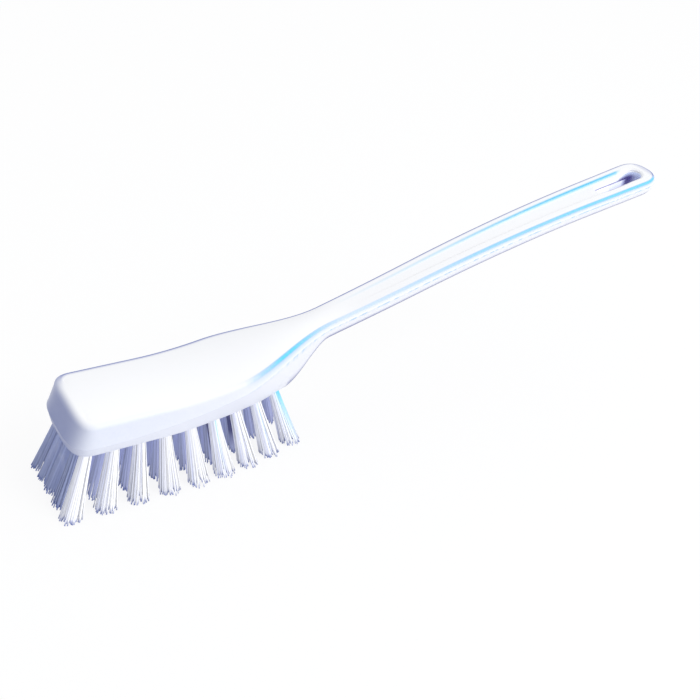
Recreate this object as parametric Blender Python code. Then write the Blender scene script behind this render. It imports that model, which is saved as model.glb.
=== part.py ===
"""Detailing brush: a moulded head and handle in one piece, set with tufts of bristles.

The brush lies along X, with the head toward -X and the handle rising toward +X.
Shapes are worked out in the brush's own coordinates: X from the front of the head,
Y from the middle plane and Z from the head's flat underside. An empty then stands the
brush on its bristles, with its origin at the bottom centre.
"""

from math import asin, cos, pi, radians, sin, tan

import bmesh
import bpy
import numpy as np
from mathutils import Matrix, Vector

MM = 0.001

# Lengths that follow one another from the front of the head to the end of the handle
HEAD_LENGTH = 89.0 * MM
NECK_LENGTH = 19.0 * MM
GRIP_LENGTH = 130.0 * MM
END_LENGTH = 37.0 * MM
NECK_END = HEAD_LENGTH + NECK_LENGTH
GRIP_END = NECK_END + GRIP_LENGTH
TOTAL_LENGTH = GRIP_END + END_LENGTH

# Widths at the parting line, and of the flat underside
HEAD_WIDTH = 35.2 * MM
NECK_WIDTH = 13.6 * MM
END_WIDTH = 19.8 * MM
SHOULDER_LENGTH = 46.0 * MM
UNDERSIDE_INSET = 1.6 * MM
NOSE_LENGTH = 47.0 * MM
NOSE_MIDDLE = 26.0 * MM
NOSE_ROUND = 10.0 * MM
NOSE_MIDDLE_INSET = 4.4 * MM
NOSE_ROUND_INSET = 7.8 * MM
NOSE_FLAT = 10.4 * MM
NECK_FLAT = 8.4 * MM
END_FLAT = 10.4 * MM

# Heights: the level head, then the slopes that carry the top edge up the handle
HEAD_THICKNESS = 13.7 * MM
HANDLE_DEPTH = 7.9 * MM
HEAD_LEVEL = 35.0 * MM
SHOULDER_BACK = 11.0 * MM
STEEPEST_AFTER_NECK = 42.0 * MM
SHOULDER_SLOPE = 0.26
STEEPEST_SLOPE = 0.32
END_SLOPE = 0.205

# How far the parting line lies below the top edge
PARTING_LEVEL = 22.0 * MM
PARTING_DROP_FRONT = 9.3 * MM
PARTING_DROP_SHOULDER = 5.2 * MM
PARTING_DROP_NOSE = 4.4 * MM
PARTING_DROP_HANDLE = 2.5 * MM

# Walls, rounded edges and the two rounded ends of the outline
SIDE_DRAFT = 0.4 * MM
FRONT_DRAFT = 2.9 * MM
HEAD_FILLET = 2.0 * MM
FRONT_FILLET = 3.0 * MM
HANDLE_FILLET = 1.2 * MM
FRONT_FOOT = 0.8 * MM
END_FOOT = 2.6 * MM
FRONT_CAP = 12.0 * MM
END_CAP = 10.0 * MM
FRONT_SQUARENESS = 3.6
END_SQUARENESS = 2.5
HEAD_ROUNDNESS = 0.15
HANDLE_ROUNDNESS = 1.0
BLEND_REACH = 5.0 * MM
BLEND_PLACES = 9

# Crown of the head and channel of the handle
FRONT_CROWN = 1.2 * MM
HEAD_CROWN = 2.0 * MM
CROWN_PEAK = 70.0 * MM
CROWN_FADE = 10.0 * MM
CHANNEL_AFTER_NECK = 10.0 * MM
CHANNEL_DEPTH = 1.2 * MM
CHANNEL_RAMP = 110.0 * MM
CHANNEL_START_WIDTH = 5.0 * MM
CHANNEL_END_WIDTH = 10.6 * MM
CHANNEL_SIDE = 0.8 * MM
CHANNEL_WEB = 5.2 * MM
HEAD_LINE_SHARE = 0.45
CHANNEL_TOP_SHARE = 0.8

# Hanging slot, cut straight down through the end of the handle
SLOT_WIDTH = 6.6 * MM
SLOT_LENGTH = 25.5 * MM
SLOT_WEB = 5.0 * MM
SLOT_SEGMENTS = 16

# Tufts of bristles
TUFT_PITCH = 9.8 * MM
TUFT_FRONT_MARGIN = 7.4 * MM
TUFT_BACK_MARGIN = 3.0 * MM
OUTER_ROW = 11.6 * MM
ROW_EDGE_MARGIN = 3.2 * MM
TUFT_DROP = 26.0 * MM
LEAN_TURN_PLACE = 42.0 * MM
FRONT_LEAN = radians(-17.5)
MIDDLE_LEAN = radians(5.0)
BACK_LEAN = radians(18.0)
OUTER_SPLAY = radians(11.5)
HOLE_DIAMETER = 4.8 * MM
HOLE_DEPTH = 8.0 * MM
HOLE_WALL = 0.5 * MM
HOLE_TOP_WALL = 0.2 * MM
HOLE_CLEARANCE = 0.3 * MM
HOLE_SEGMENTS = 12
ROOT_STAND_OUT = 0.5 * MM

# Strands in each tuft: one inner ring and one outer ring, spreading toward the tips
INNER_STRANDS = 3
OUTER_STRANDS = 7
INNER_RING = 0.62 * MM
OUTER_RING = 1.45 * MM
TIP_SPREAD = 2.3
STRAND_RADIUS = 0.36 * MM
STRAND_TIP_RADIUS = 0.5 * MM
STRAND_SIDES = 3
STRAND_EMBED = 0.8 * MM
RAGGED_TIPS = 1.2 * MM
GOLDEN_SHARE = 0.618

# Anchor wire that holds each folded tuft at the top of its hole
ANCHOR_LENGTH = 3.4 * MM
ANCHOR_WIDTH = 0.9 * MM
ANCHOR_HEIGHT = 1.0 * MM
ANCHOR_SEAT = 0.2 * MM
PLUG_DEPTH = HOLE_DEPTH - HOLE_CLEARANCE - ANCHOR_HEIGHT + ANCHOR_SEAT

# Number of rows in each stretch of the outline
FRONT_ROWS = 4
TAPER_ROWS = 4
SHOULDER_ROWS = 7
NECK_ROWS = 6
GRIP_ROWS = 16
END_ROWS = 4
CAP_ROWS = 3
FILLET_STEPS = 3
LOWER_STEPS = 4
HALF_COLUMNS = 4

SIDE = pi / 2
CORNER = pi / 4
FRONT_MIDDLE_TURN = -1e-9
ROW_MATCH = 0.01 * MM


def eased(x, stations, values):
    """Follow straight stretches through the stations, with the corners rounded."""
    window = x + BLEND_REACH * np.linspace(-1.0, 1.0, BLEND_PLACES)
    return float(np.mean(np.interp(window, stations, values)))


def rim_height(x):
    """Height of the top edge: the sum of slopes that change evenly between stations."""
    shoulder = HEAD_LENGTH - SHOULDER_BACK
    stations = [0.0, HEAD_LEVEL, shoulder, NECK_END + STEEPEST_AFTER_NECK, GRIP_END]
    knots = [0.0] + [station for station in stations if 0.0 < station < x] + [x]
    slopes = np.interp(knots, stations, [0.0, 0.0, SHOULDER_SLOPE, STEEPEST_SLOPE, END_SLOPE])
    rises = [(b - a) * (p + q) / 2 for a, b, p, q in zip(knots, knots[1:], slopes, slopes[1:])]
    return HEAD_THICKNESS + float(sum(rises))


def on_handle(x):
    """Nought on the head, one on the handle, changing evenly along the shoulder."""
    return min(max((x - NECK_END + SHOULDER_LENGTH) / SHOULDER_LENGTH, 0.0), 1.0)


def smooth(share):
    """Rise from nought to one with soft ends."""
    return share * share * (3.0 - 2.0 * share)


def half_width(x):
    """Half the width at the parting line: the head, the shoulder and the flaring handle."""
    head = HEAD_WIDTH + (NECK_WIDTH - HEAD_WIDTH) * smooth(on_handle(x))
    along_handle = max((x - NECK_END) / (TOTAL_LENGTH - NECK_END), 0.0)
    return (head + (END_WIDTH - NECK_WIDTH) * along_handle) / 2


def flat_half_width(x):
    """Half the width of the flat underside, which narrows to a blunt nose under the neck."""
    stations = [
        HEAD_LENGTH - NOSE_LENGTH,
        HEAD_LENGTH - NOSE_MIDDLE,
        HEAD_LENGTH - NOSE_ROUND,
        HEAD_LENGTH,
        NECK_END,
        TOTAL_LENGTH,
    ]
    values = [
        HEAD_WIDTH / 2 - UNDERSIDE_INSET,
        HEAD_WIDTH / 2 - NOSE_MIDDLE_INSET,
        HEAD_WIDTH / 2 - NOSE_ROUND_INSET,
        NOSE_FLAT / 2,
        NECK_FLAT / 2,
        END_FLAT / 2,
    ]
    return eased(x, stations, values)


def parting_height(x):
    stations = [PARTING_LEVEL, NECK_END - SHOULDER_LENGTH, HEAD_LENGTH, NECK_END]
    drops = [PARTING_DROP_FRONT, PARTING_DROP_SHOULDER, PARTING_DROP_NOSE, PARTING_DROP_HANDLE]
    return rim_height(x) - eased(x, stations, drops)


def underside_height(x):
    """The head's flat underside, a soft rise under the neck, then the handle's underside."""
    risen = min(max((x - HEAD_LENGTH) / NECK_LENGTH, 0.0), 1.0)
    return (rim_height(x) - HANDLE_DEPTH) * smooth(risen)


def edge_fillet(x):
    return HEAD_FILLET + (HANDLE_FILLET - HEAD_FILLET) * on_handle(x)


def crown_height(x):
    stations = [0.0, CROWN_PEAK, NECK_END, NECK_END + CROWN_FADE]
    return eased(x, stations, [FRONT_CROWN, HEAD_CROWN, FRONT_CROWN, 0.0])


def channel_depth(x):
    start = NECK_END + CHANNEL_AFTER_NECK
    if x > TOTAL_LENGTH - CHANNEL_WEB - CHANNEL_DEPTH:
        return 0.0
    return CHANNEL_DEPTH * min(max((x - start) / CHANNEL_RAMP, 0.0), 1.0)


def top_half_width(x):
    return half_width(x) - SIDE_DRAFT - edge_fillet(x)


def channel_half_width(x):
    """Half the channel's width, and on the head the place of the same lines of points."""
    start = NECK_END + CHANNEL_AFTER_NECK
    along = (x - start) / (TOTAL_LENGTH - start)
    channel = (CHANNEL_START_WIDTH + (CHANNEL_END_WIDTH - CHANNEL_START_WIDTH) * along) / 2
    past_full = max(x - TOTAL_LENGTH + END_CAP, 0.0) / END_CAP
    return max(channel, HEAD_LINE_SHARE * top_half_width(x)) * (1.0 - past_full**2) ** 0.5


def outline_place(station, front_setback, end_setback, inset):
    """Where a line round the outline passes a station: on a side, or round either end."""
    x, turn = station
    if x is not None:
        return x, -(half_width(x) - inset(x))
    if turn < 0.0:
        power = 2.0 / FRONT_SQUARENESS
        along, across = cos(turn) ** power, sin(-turn) ** power
        x = front_setback + (FRONT_CAP - front_setback) * (1.0 - along)
    else:
        power = 2.0 / END_SQUARENESS
        along, across = cos(turn) ** power, sin(turn) ** power
        x = TOTAL_LENGTH - end_setback - (END_CAP - end_setback) * (1.0 - along)
    return x, -(half_width(x) - inset(x)) * across


def facing_front(station):
    """How squarely a station faces forward: one at the front's middle, nought on a side."""
    x, turn = station
    return cos(turn) ** 2 if x is None and turn < 0.0 else 0.0


def wall_points(station):
    """Points down the wall at a station, from the top's edge to the underside's edge."""
    front = facing_front(station)
    points = []
    crown = None
    for step in range(FILLET_STEPS + 1):
        angle = SIDE * (1.0 - step / FILLET_STEPS)
        x, y = outline_place(
            station,
            FRONT_DRAFT + FRONT_FILLET * (1.0 - cos(angle)),
            SIDE_DRAFT + HANDLE_FILLET * (1.0 - cos(angle)),
            lambda at: SIDE_DRAFT + edge_fillet(at) * (1.0 - cos(angle)),
        )
        if crown is None:
            crown = crown_height(x) * (1.0 - min(abs(y) / top_half_width(x), 1.0) ** 2)
        fillet = edge_fillet(x) + (FRONT_FILLET - edge_fillet(x)) * front
        points.append((x, y, rim_height(x) + crown - fillet * (1.0 - sin(angle))))
    for step in range(LOWER_STEPS + 1):
        along = step / LOWER_STEPS
        points.append(lower_point(station, along))
    return points


def lower_point(station, along):
    """A point between the parting line and the underside's edge, on a rounded curve."""
    place, side_turn = station
    if place is None:
        place = 0.0 if side_turn < 0.0 else TOTAL_LENGTH
    roundness = HEAD_ROUNDNESS + (HANDLE_ROUNDNESS - HEAD_ROUNDNESS) * on_handle(place)
    bend = along * (1.0 - along) * (1.0 - roundness) + along**2
    x, y = outline_place(
        station,
        FRONT_FOOT * bend,
        END_FOOT * bend,
        lambda at: (half_width(at) - flat_half_width(at)) * bend,
    )
    high, low = parting_height(x), underside_height(x)
    turn = 2.0 * along * (1.0 - along)
    middle = (high + low) / 2 * (1.0 - roundness) + low * roundness
    return x, y, (1.0 - along) ** 2 * high + turn * middle + along**2 * low


def stretch(start, end, rows):
    return [start + (end - start) * row / rows for row in range(rows)]


def side_stations():
    """Places along the side, closer together where the underside rises."""
    shoulder = NECK_END - SHOULDER_LENGTH
    taper = HEAD_LENGTH - NOSE_LENGTH
    places = stretch(FRONT_CAP, taper, FRONT_ROWS) + stretch(taper, shoulder, TAPER_ROWS)
    places += stretch(shoulder, HEAD_LENGTH, SHOULDER_ROWS)
    places += stretch(HEAD_LENGTH, NECK_END, NECK_ROWS)
    places += stretch(NECK_END, GRIP_END, GRIP_ROWS)
    places += stretch(GRIP_END, TOTAL_LENGTH - END_CAP, END_ROWS)
    places.append(TOTAL_LENGTH - END_CAP)
    return [(x, SIDE) for x in places]


def cap_turns(squareness):
    """Turns across a rounded end, from its middle to its corner, evenly spaced in width."""
    power = squareness / 2.0
    shares = [column / HALF_COLUMNS for column in range(HALF_COLUMNS + 1)]
    return [asin(share**power * sin(CORNER)) for share in shares]


def outline_stations():
    """Stations down the near half: the front, the side and the end of the handle."""
    corner_turns = [CORNER + (SIDE - CORNER) * row / CAP_ROWS for row in range(1, CAP_ROWS)]
    front = [(None, -turn) for turn in cap_turns(FRONT_SQUARENESS) + corner_turns]
    end = [(None, turn) for turn in cap_turns(END_SQUARENESS) + corner_turns]
    front[0] = (None, FRONT_MIDDLE_TURN)
    return front + side_stations() + end[::-1]


def top_row(x, half):
    """Heights and places across the top at one row: land, channel side and channel floor."""
    channel = min(channel_half_width(x), half * CHANNEL_TOP_SHARE)
    depth = channel_depth(x)
    floor = channel - CHANNEL_SIDE if depth > 0.0 else channel / 2
    land = rim_height(x)
    crown = crown_height(x)
    row = []
    for y, drop in ((0.0, depth), (floor, depth), (channel, 0.0), ((channel + half) / 2, 0.0)):
        row.append((x, y, land + crown * (1.0 - (y / half) ** 2) - drop))
    return row


def add_ring_faces(bm, near, far):
    """Close the wall between neighbouring stations, all the way round the outline."""
    loop = near + far[::-1]
    for this, after in zip(loop, loop[1:] + loop[:1]):
        for top_a, low_a, top_b, low_b in zip(this, this[1:], after, after[1:]):
            bm.faces.new((top_a, low_a, low_b, top_b))


def body_mesh():
    """Loft the body: walls swept round its outline, then the top and the underside."""
    bm = bmesh.new()
    stations = outline_stations()
    walls = [wall_points(station) for station in stations]
    near = [[bm.verts.new(point) for point in wall] for wall in walls]
    far = [[bm.verts.new((x, -y, z)) for x, y, z in wall] for wall in walls[1:-1]]
    add_ring_faces(bm, near, far)
    far = [near[0]] + far + [near[-1]]
    add_top(bm, near, far)
    add_underside(bm, near, far)
    return finished(bm, "brush_body")


def add_top(bm, near, far):
    """Rows of points across the top, from the front's edge to the handle end's edge."""
    last = len(near) - 1
    corner = HALF_COLUMNS
    rows = [[far[i][0] for i in range(corner, 0, -1)] + [near[i][0] for i in range(corner + 1)]]
    for index in range(corner + 1, last - corner):
        edge = near[index][0]
        half = [bm.verts.new(point) for point in top_row(edge.co.x, -edge.co.y)]
        other = [bm.verts.new((v.co.x, -v.co.y, v.co.z)) for v in half[1:]]
        rows.append([edge] + other[::-1] + half + [far[index][0]])
    rows[0].reverse()
    ends = range(last - corner, last + 1)
    rows.append([near[i][0] for i in ends] + [far[i][0] for i in ends][-2::-1])
    for this, after in zip(rows, rows[1:]):
        for a, b, c, d in zip(this, this[1:], after, after[1:]):
            bm.faces.new((a, b, d, c))


def add_underside(bm, near, far):
    """The head's flat underside, the rise, and the handle end's flat underside."""
    places = [near[i][-1].co.x for i in range(len(near))]
    start = next(i for i, x in enumerate(places) if x > HEAD_LENGTH - ROW_MATCH)
    finish = next(i for i, x in enumerate(places) if x > GRIP_END - ROW_MATCH)
    head = [far[i][-1] for i in range(start, 0, -1)] + [near[i][-1] for i in range(start + 1)]
    bm.faces.new(head)
    for i in range(start, finish):
        bm.faces.new((near[i][-1], near[i + 1][-1], far[i + 1][-1], far[i][-1]))
    last = len(near) - 1
    end = [near[i][-1] for i in range(finish, last + 1)]
    bm.faces.new(end + [far[i][-1] for i in range(last - 1, finish - 1, -1)])


def tuft_columns():
    span = HEAD_LENGTH - TUFT_FRONT_MARGIN - TUFT_BACK_MARGIN
    return [TUFT_FRONT_MARGIN + TUFT_PITCH * k for k in range(int(span / TUFT_PITCH) + 1)]


def outer_row(x):
    """How far the outer rows stand from the middle, within the flat underside."""
    return max(min(OUTER_ROW, flat_half_width(x) - ROW_EDGE_MARGIN), 0.0)


def row_steps(x):
    """How many steps from row to row the width of the underside leaves room for."""
    return int(2 * outer_row(x) / (HOLE_DIAMETER + HOLE_WALL))


def tuft_rows():
    """Each tuft's name and the place of its root, column by column from the near side."""
    roots = []
    for column, x in enumerate(tuft_columns(), 1):
        steps = row_steps(x)
        for row in range(steps + 1):
            y = outer_row(x) * (2 * row / steps - 1.0) if steps else 0.0
            roots.append((f"tuft_{column}_{row + 1}", x, y))
    return roots


def tuft_tilt(x, y):
    """How far a tuft's tips stand off from its root, for each unit of drop."""
    stations = [TUFT_FRONT_MARGIN, LEAN_TURN_PLACE, HEAD_LENGTH - TUFT_BACK_MARGIN]
    lean = tan(np.interp(x, stations, [FRONT_LEAN, MIDDLE_LEAN, BACK_LEAN]))
    splay = tan(OUTER_SPLAY) * y / outer_row(x) if row_steps(x) else 0.0
    return lean, splay


def hole_direction(x, y):
    """The drilled hole's direction, which also keeps clear of its neighbours at the top."""
    lean, splay = tuft_tilt(x, y)
    steps = row_steps(x)
    if steps:
        apart = 2 * outer_row(x) / steps
        limit = (apart - HOLE_DIAMETER - HOLE_TOP_WALL) / HOLE_DEPTH * abs(y) / apart
        splay = min(max(splay, -limit), limit)
    return Vector((lean, splay, -1.0)).normalized()


def turn_along(direction):
    """The turn that swings something upright onto a leaning direction, with no twist."""
    return Vector((0.0, 0.0, -1.0)).rotation_difference(direction).to_matrix().to_4x4()


def cylinder_along(bm, root, direction, start, end, radius):
    """A cylinder on the line through the root, between two distances along it."""
    middle = Matrix.Translation(root + direction * (start + end) / 2)
    bmesh.ops.create_cone(
        bm,
        cap_ends=True,
        segments=HOLE_SEGMENTS,
        radius1=radius,
        radius2=radius,
        depth=end - start,
        matrix=middle @ turn_along(direction),
    )


def strand_places():
    """Each strand's ring radius, its angle round the tuft and its share of the raggedness."""
    places = []
    for count, ring in ((INNER_STRANDS, INNER_RING), (OUTER_STRANDS, OUTER_RING)):
        for number in range(count):
            share = GOLDEN_SHARE * (number + count)
            places.append((ring, 2 * pi * number / count, max(2 * (share % 1.0) - 1.0, 0.0)))
    return places


def add_strand(bm, root, direction, tip, place, side):
    """One bristle: three sides, its root inside the plug and its tip cut flat."""
    ring, angle, short = place
    tip = tip + (root - tip) * (RAGGED_TIPS * short / TUFT_DROP)
    start = root - direction * (STRAND_EMBED - ROOT_STAND_OUT)
    spoke = Vector((cos(angle), side * sin(angle), 0.0))
    upper, lower = [], []
    for corner in range(STRAND_SIDES):
        around = angle + 2 * pi * corner / STRAND_SIDES
        edge = Vector((cos(around), side * sin(around), 0.0))
        across = spoke * ring + edge * STRAND_RADIUS
        upper.append(bm.verts.new(start + across - direction * across.dot(direction)))
        lower.append(bm.verts.new(tip + spoke * ring * TIP_SPREAD + edge * STRAND_TIP_RADIUS))
    for a in range(STRAND_SIDES):
        b = (a + 1) % STRAND_SIDES
        bm.faces.new((upper[a], upper[b], lower[b], lower[a]))
    bm.faces.new(upper[::-1])
    bm.faces.new(lower)


def add_anchor(bm, root, direction):
    """The short wire across the top of the plug, which pins the folded tuft in its hole."""
    middle = root - direction * (PLUG_DEPTH + ANCHOR_HEIGHT / 2 - ANCHOR_SEAT)
    size = Matrix.Diagonal((ANCHOR_LENGTH, ANCHOR_WIDTH, ANCHOR_HEIGHT, 1.0))
    place = Matrix.Translation(middle) @ turn_along(direction) @ size
    bmesh.ops.create_cube(bm, size=1.0, matrix=place)


def plug_mesh(name, root, direction):
    """The bound root of a tuft, which fills its hole but for the clearance."""
    bm = bmesh.new()
    radius = HOLE_DIAMETER / 2 - HOLE_CLEARANCE
    cylinder_along(bm, root, direction, -PLUG_DEPTH, ROOT_STAND_OUT, radius)
    return finished(bm, name)


def strands_mesh(name, root, direction, side):
    """A tuft's strands and its anchor wire, each of which reaches into the plug."""
    bm = bmesh.new()
    lean, splay = tuft_tilt(root.x, root.y)
    tip = root + Vector((lean, splay, -1.0)) * TUFT_DROP
    for place in strand_places():
        add_strand(bm, root, direction, tip, place, side)
    add_anchor(bm, root, direction)
    return finished(bm, name)


def holes_mesh(roots):
    """One cylinder for each tuft, from below the underside to the top of its hole."""
    bm = bmesh.new()
    for _, x, y in roots:
        direction = hole_direction(x, y)
        root = Vector((x, y, 0.0))
        cylinder_along(bm, root, direction, -HOLE_DEPTH, HOLE_DEPTH / 2, HOLE_DIAMETER / 2)
    return finished(bm, "tuft_holes")


def slot_mesh():
    """A full-round slot's outline, raised through the end of the handle."""
    bm = bmesh.new()
    radius = SLOT_WIDTH / 2
    far_centre = TOTAL_LENGTH - SLOT_WEB - radius
    near_centre = far_centre - SLOT_LENGTH + SLOT_WIDTH
    low, high = underside_height(near_centre) / 2, rim_height(TOTAL_LENGTH) + HANDLE_DEPTH
    outline = []
    for centre, first in ((far_centre, -SIDE), (near_centre, SIDE)):
        for step in range(SLOT_SEGMENTS + 1):
            angle = first + pi * step / SLOT_SEGMENTS
            outline.append((centre + radius * cos(angle), radius * sin(angle), low))
    base = bm.faces.new([bm.verts.new(point) for point in outline])
    raised = bmesh.ops.extrude_face_region(bm, geom=[base])["geom"]
    corners = [item for item in raised if isinstance(item, bmesh.types.BMVert)]
    bmesh.ops.translate(bm, verts=corners, vec=(0.0, 0.0, high - low))
    return finished(bm, "hanging_slot")


def finished(bm, name):
    bmesh.ops.recalc_face_normals(bm, faces=bm.faces)
    mesh = bpy.data.meshes.new(name)
    bm.to_mesh(mesh)
    bm.free()
    return mesh


def material(name, colour, roughness, metallic):
    made = bpy.data.materials.new(name)
    made.use_nodes = True
    shader = made.node_tree.nodes["Principled BSDF"]
    shader.inputs["Base Color"].default_value = (*colour, 1.0)
    shader.inputs["Roughness"].default_value = roughness
    shader.inputs["Metallic"].default_value = metallic
    return made


def add_object(mesh, collection, parent):
    made = bpy.data.objects.new(mesh.name, mesh)
    collection.objects.link(made)
    made.parent = parent
    return made


def add_cutter(mesh, collection, parent):
    made = add_object(mesh, collection, parent)
    made.hide_render = True
    made.display_type = "WIRE"
    return made


def add_boolean(target, cutter, operation):
    change = target.modifiers.new(cutter.name, "BOOLEAN")
    change.operation = operation
    change.object = cutter
    change.solver = "EXACT"


def new_collection(name):
    made = bpy.data.collections.new(name)
    bpy.context.scene.collection.children.link(made)
    return made


def stand_on_tips(frame, meshes):
    """Move the whole brush so that its box's bottom centre is at the origin."""
    points = np.array([vertex.co for mesh in meshes for vertex in mesh.vertices])
    low, high = points.min(axis=0), points.max(axis=0)
    frame.location = (-(low[0] + high[0]) / 2, -(low[1] + high[1]) / 2, -low[2])


def main():
    for item in list(bpy.data.objects):
        bpy.data.objects.remove(item, do_unlink=True)
    parts = new_collection("detailing_brush")
    cutters = new_collection("cutters")
    frame = bpy.data.objects.new("brush_frame", None)
    parts.objects.link(frame)
    plastic = material("white_plastic", (0.86, 0.87, 0.9), 0.3, 0.0)
    bristle = material("white_bristle", (0.8, 0.81, 0.88), 0.55, 0.0)

    body = add_object(body_mesh(), parts, frame)
    body.data.materials.append(plastic)
    roots = tuft_rows()
    add_boolean(body, add_cutter(holes_mesh(roots), cutters, frame), "DIFFERENCE")
    add_boolean(body, add_cutter(slot_mesh(), cutters, frame), "DIFFERENCE")

    shapes = [body.data]
    for name, x, y in roots:
        root = Vector((x, y, 0.0))
        direction = hole_direction(x, y)
        plug = add_object(plug_mesh(name, root, direction), parts, frame)
        plug.data.materials.append(bristle)
        side = 1.0 if y > 0.0 else -1.0
        strands = strands_mesh(f"{name}_strands", root, direction, side)
        add_boolean(plug, add_cutter(strands, cutters, frame), "UNION")
        shapes.append(strands)
    stand_on_tips(frame, shapes)


main()
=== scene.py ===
# %% [markdown]
# # A detailing brush in white plastic
#
# The real brush is two things made in two ways. The head and handle are one piece of
# white plastic, moulded in a two-part mould. Thirty-nine holes are drilled in the head's
# flat underside, and a machine folds a small bundle of stiff filaments in half and drives it
# into each hole. This lesson rebuilds the moulded piece as one smooth loft and each tuft
# as separate bent filaments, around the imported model, which fixes every size and place.

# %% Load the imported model
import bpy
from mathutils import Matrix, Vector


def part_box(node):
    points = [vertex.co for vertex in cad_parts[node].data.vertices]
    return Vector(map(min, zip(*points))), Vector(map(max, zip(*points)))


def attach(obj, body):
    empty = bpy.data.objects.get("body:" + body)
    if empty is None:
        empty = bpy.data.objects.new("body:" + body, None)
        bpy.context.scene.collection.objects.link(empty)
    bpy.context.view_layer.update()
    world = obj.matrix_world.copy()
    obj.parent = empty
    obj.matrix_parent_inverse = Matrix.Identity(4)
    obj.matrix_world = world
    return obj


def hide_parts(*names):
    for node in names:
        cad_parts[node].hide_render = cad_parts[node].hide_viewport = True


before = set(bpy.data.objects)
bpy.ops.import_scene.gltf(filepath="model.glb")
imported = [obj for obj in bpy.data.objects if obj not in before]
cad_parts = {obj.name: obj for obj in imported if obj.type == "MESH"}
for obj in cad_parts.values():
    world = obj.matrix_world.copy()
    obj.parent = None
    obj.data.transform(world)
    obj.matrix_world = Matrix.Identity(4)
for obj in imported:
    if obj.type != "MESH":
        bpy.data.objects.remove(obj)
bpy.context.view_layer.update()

# %% [markdown]
# All sizes below are in the brush's own coordinates: X from the front of the head, Y from
# its middle plane and Z from its flat underside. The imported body's box says where that
# corner is, so one small function turns a point of the brush into a point of the frame.

# %% The brush's own coordinates
from math import asin, cos, hypot, pi, radians, sin, tan

import bmesh
import bpy
import numpy as np
from mathutils import Matrix, Vector

MM = 0.001
TINY = 1e-9
body_low, body_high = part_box("brush_body")
TOTAL_LENGTH = body_high.x - body_low.x
print("length of the moulded piece in mm:", round(TOTAL_LENGTH / MM, 2))


def in_frame(x, y, z):
    """A point of the brush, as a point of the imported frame."""
    return Vector((body_low.x + x, y, body_low.z + z))


# %% [markdown]
# The moulded piece is described by a few lines that run along it: the height of its top
# edge, its half width, the width of its flat underside and the height of the parting line
# where the mould's halves met. Each is a short formula, so the same lines can be read as
# closely as the surface needs. A spline drawn by hand would look as good, but its sizes
# could not be read back. Two helpers soften the corners of these lines.

# %% Soft lines
BLEND_REACH = 5.0 * MM
BLEND_READINGS = 9


def eased(x, stations, values):
    """Follow straight stretches through the stations, with the corners rounded."""
    window = x + BLEND_REACH * np.linspace(-1.0, 1.0, BLEND_READINGS)
    return float(np.mean(np.interp(window, stations, values)))


def between(value, low=0.0, high=1.0):
    """Keep a value between two limits."""
    return min(max(value, low), high)


def smooth(value):
    """Rise from nought to one with soft ends."""
    value = between(value)
    return value * value * (3.0 - 2.0 * value)


print("a soft rise at a quarter, a half and its end:", smooth(0.25), smooth(0.5), smooth(1.0))

# %% [markdown]
# Seen from the side, the head is level and the handle climbs behind it, which lifts the
# hand clear of the surface that is scrubbed. The top edge is a sum of slopes that change
# evenly from station to station, so it bends without a kink. Seen from above, the head
# keeps its width, narrows at the shoulder, and the handle widens slowly to its end.

# %% The top edge and the half width
HEAD_LENGTH = 89.0 * MM
NECK_LENGTH = 19.0 * MM
NECK_END = HEAD_LENGTH + NECK_LENGTH
GRIP_END = NECK_END + 130.0 * MM
HEAD_WIDTH = 35.2 * MM
NECK_WIDTH = 13.6 * MM
END_WIDTH = 19.8 * MM
SHOULDER_LENGTH = 46.0 * MM
HEAD_THICKNESS = 13.7 * MM
SLOPE_PLACES = [0.0, 35.0 * MM, HEAD_LENGTH - 11.0 * MM, NECK_END + 42.0 * MM, GRIP_END]
SLOPES = [0.0, 0.0, 0.26, 0.32, 0.205]


def rim_height(x):
    """Height of the top edge: the sum of slopes that change evenly between places."""
    knots = [0.0] + [place for place in SLOPE_PLACES if 0.0 < place < x] + [x]
    slopes = np.interp(knots, SLOPE_PLACES, SLOPES)
    rises = [(b - a) * (p + q) / 2 for a, b, p, q in zip(knots, knots[1:], slopes, slopes[1:])]
    return HEAD_THICKNESS + float(sum(rises))


def on_handle(x):
    """Nought on the head, one on the handle, changing evenly along the shoulder."""
    return between((x - NECK_END + SHOULDER_LENGTH) / SHOULDER_LENGTH)


def half_width(x):
    """Half the width at the parting line: the head, the shoulder and the flaring handle."""
    head = HEAD_WIDTH + (NECK_WIDTH - HEAD_WIDTH) * smooth(on_handle(x))
    along_handle = max((x - NECK_END) / (TOTAL_LENGTH - NECK_END), 0.0)
    return (head + (END_WIDTH - NECK_WIDTH) * along_handle) / 2


for place in (0.0, 60.0, 108.0, 200.0, 275.0):
    edge, half = rim_height(place * MM) / MM, half_width(place * MM) / MM
    print("at", place, "mm: edge", round(edge, 1), "mm up, half width", round(half, 1), "mm")

# %% [markdown]
# Below, the head is flat, so that every tuft can be driven in to the same depth. The flat
# narrows to a blunt nose under the neck, where the underside rises softly to the handle's.
# The parting line climbs from the head's foot to the handle's edge, which lets both halves
# of the mould pull straight off.

# %% The underside and the parting line
HANDLE_DEPTH = 7.9 * MM
FLAT_PLACES = [HEAD_LENGTH - back * MM for back in (47.0, 26.0, 10.0)]
FLAT_PLACES += [HEAD_LENGTH, NECK_END, TOTAL_LENGTH]
FLAT_HALF_WIDTHS = [HEAD_WIDTH / 2 - inset * MM for inset in (1.6, 4.4, 7.8)]
FLAT_HALF_WIDTHS += [5.2 * MM, 4.2 * MM, 5.2 * MM]
PARTING_PLACES = [22.0 * MM, NECK_END - SHOULDER_LENGTH, HEAD_LENGTH, NECK_END]
PARTING_DROPS = [9.3 * MM, 5.2 * MM, 4.4 * MM, 2.5 * MM]


def flat_half_width(x):
    """Half the width of the flat underside."""
    return eased(x, FLAT_PLACES, FLAT_HALF_WIDTHS)


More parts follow.
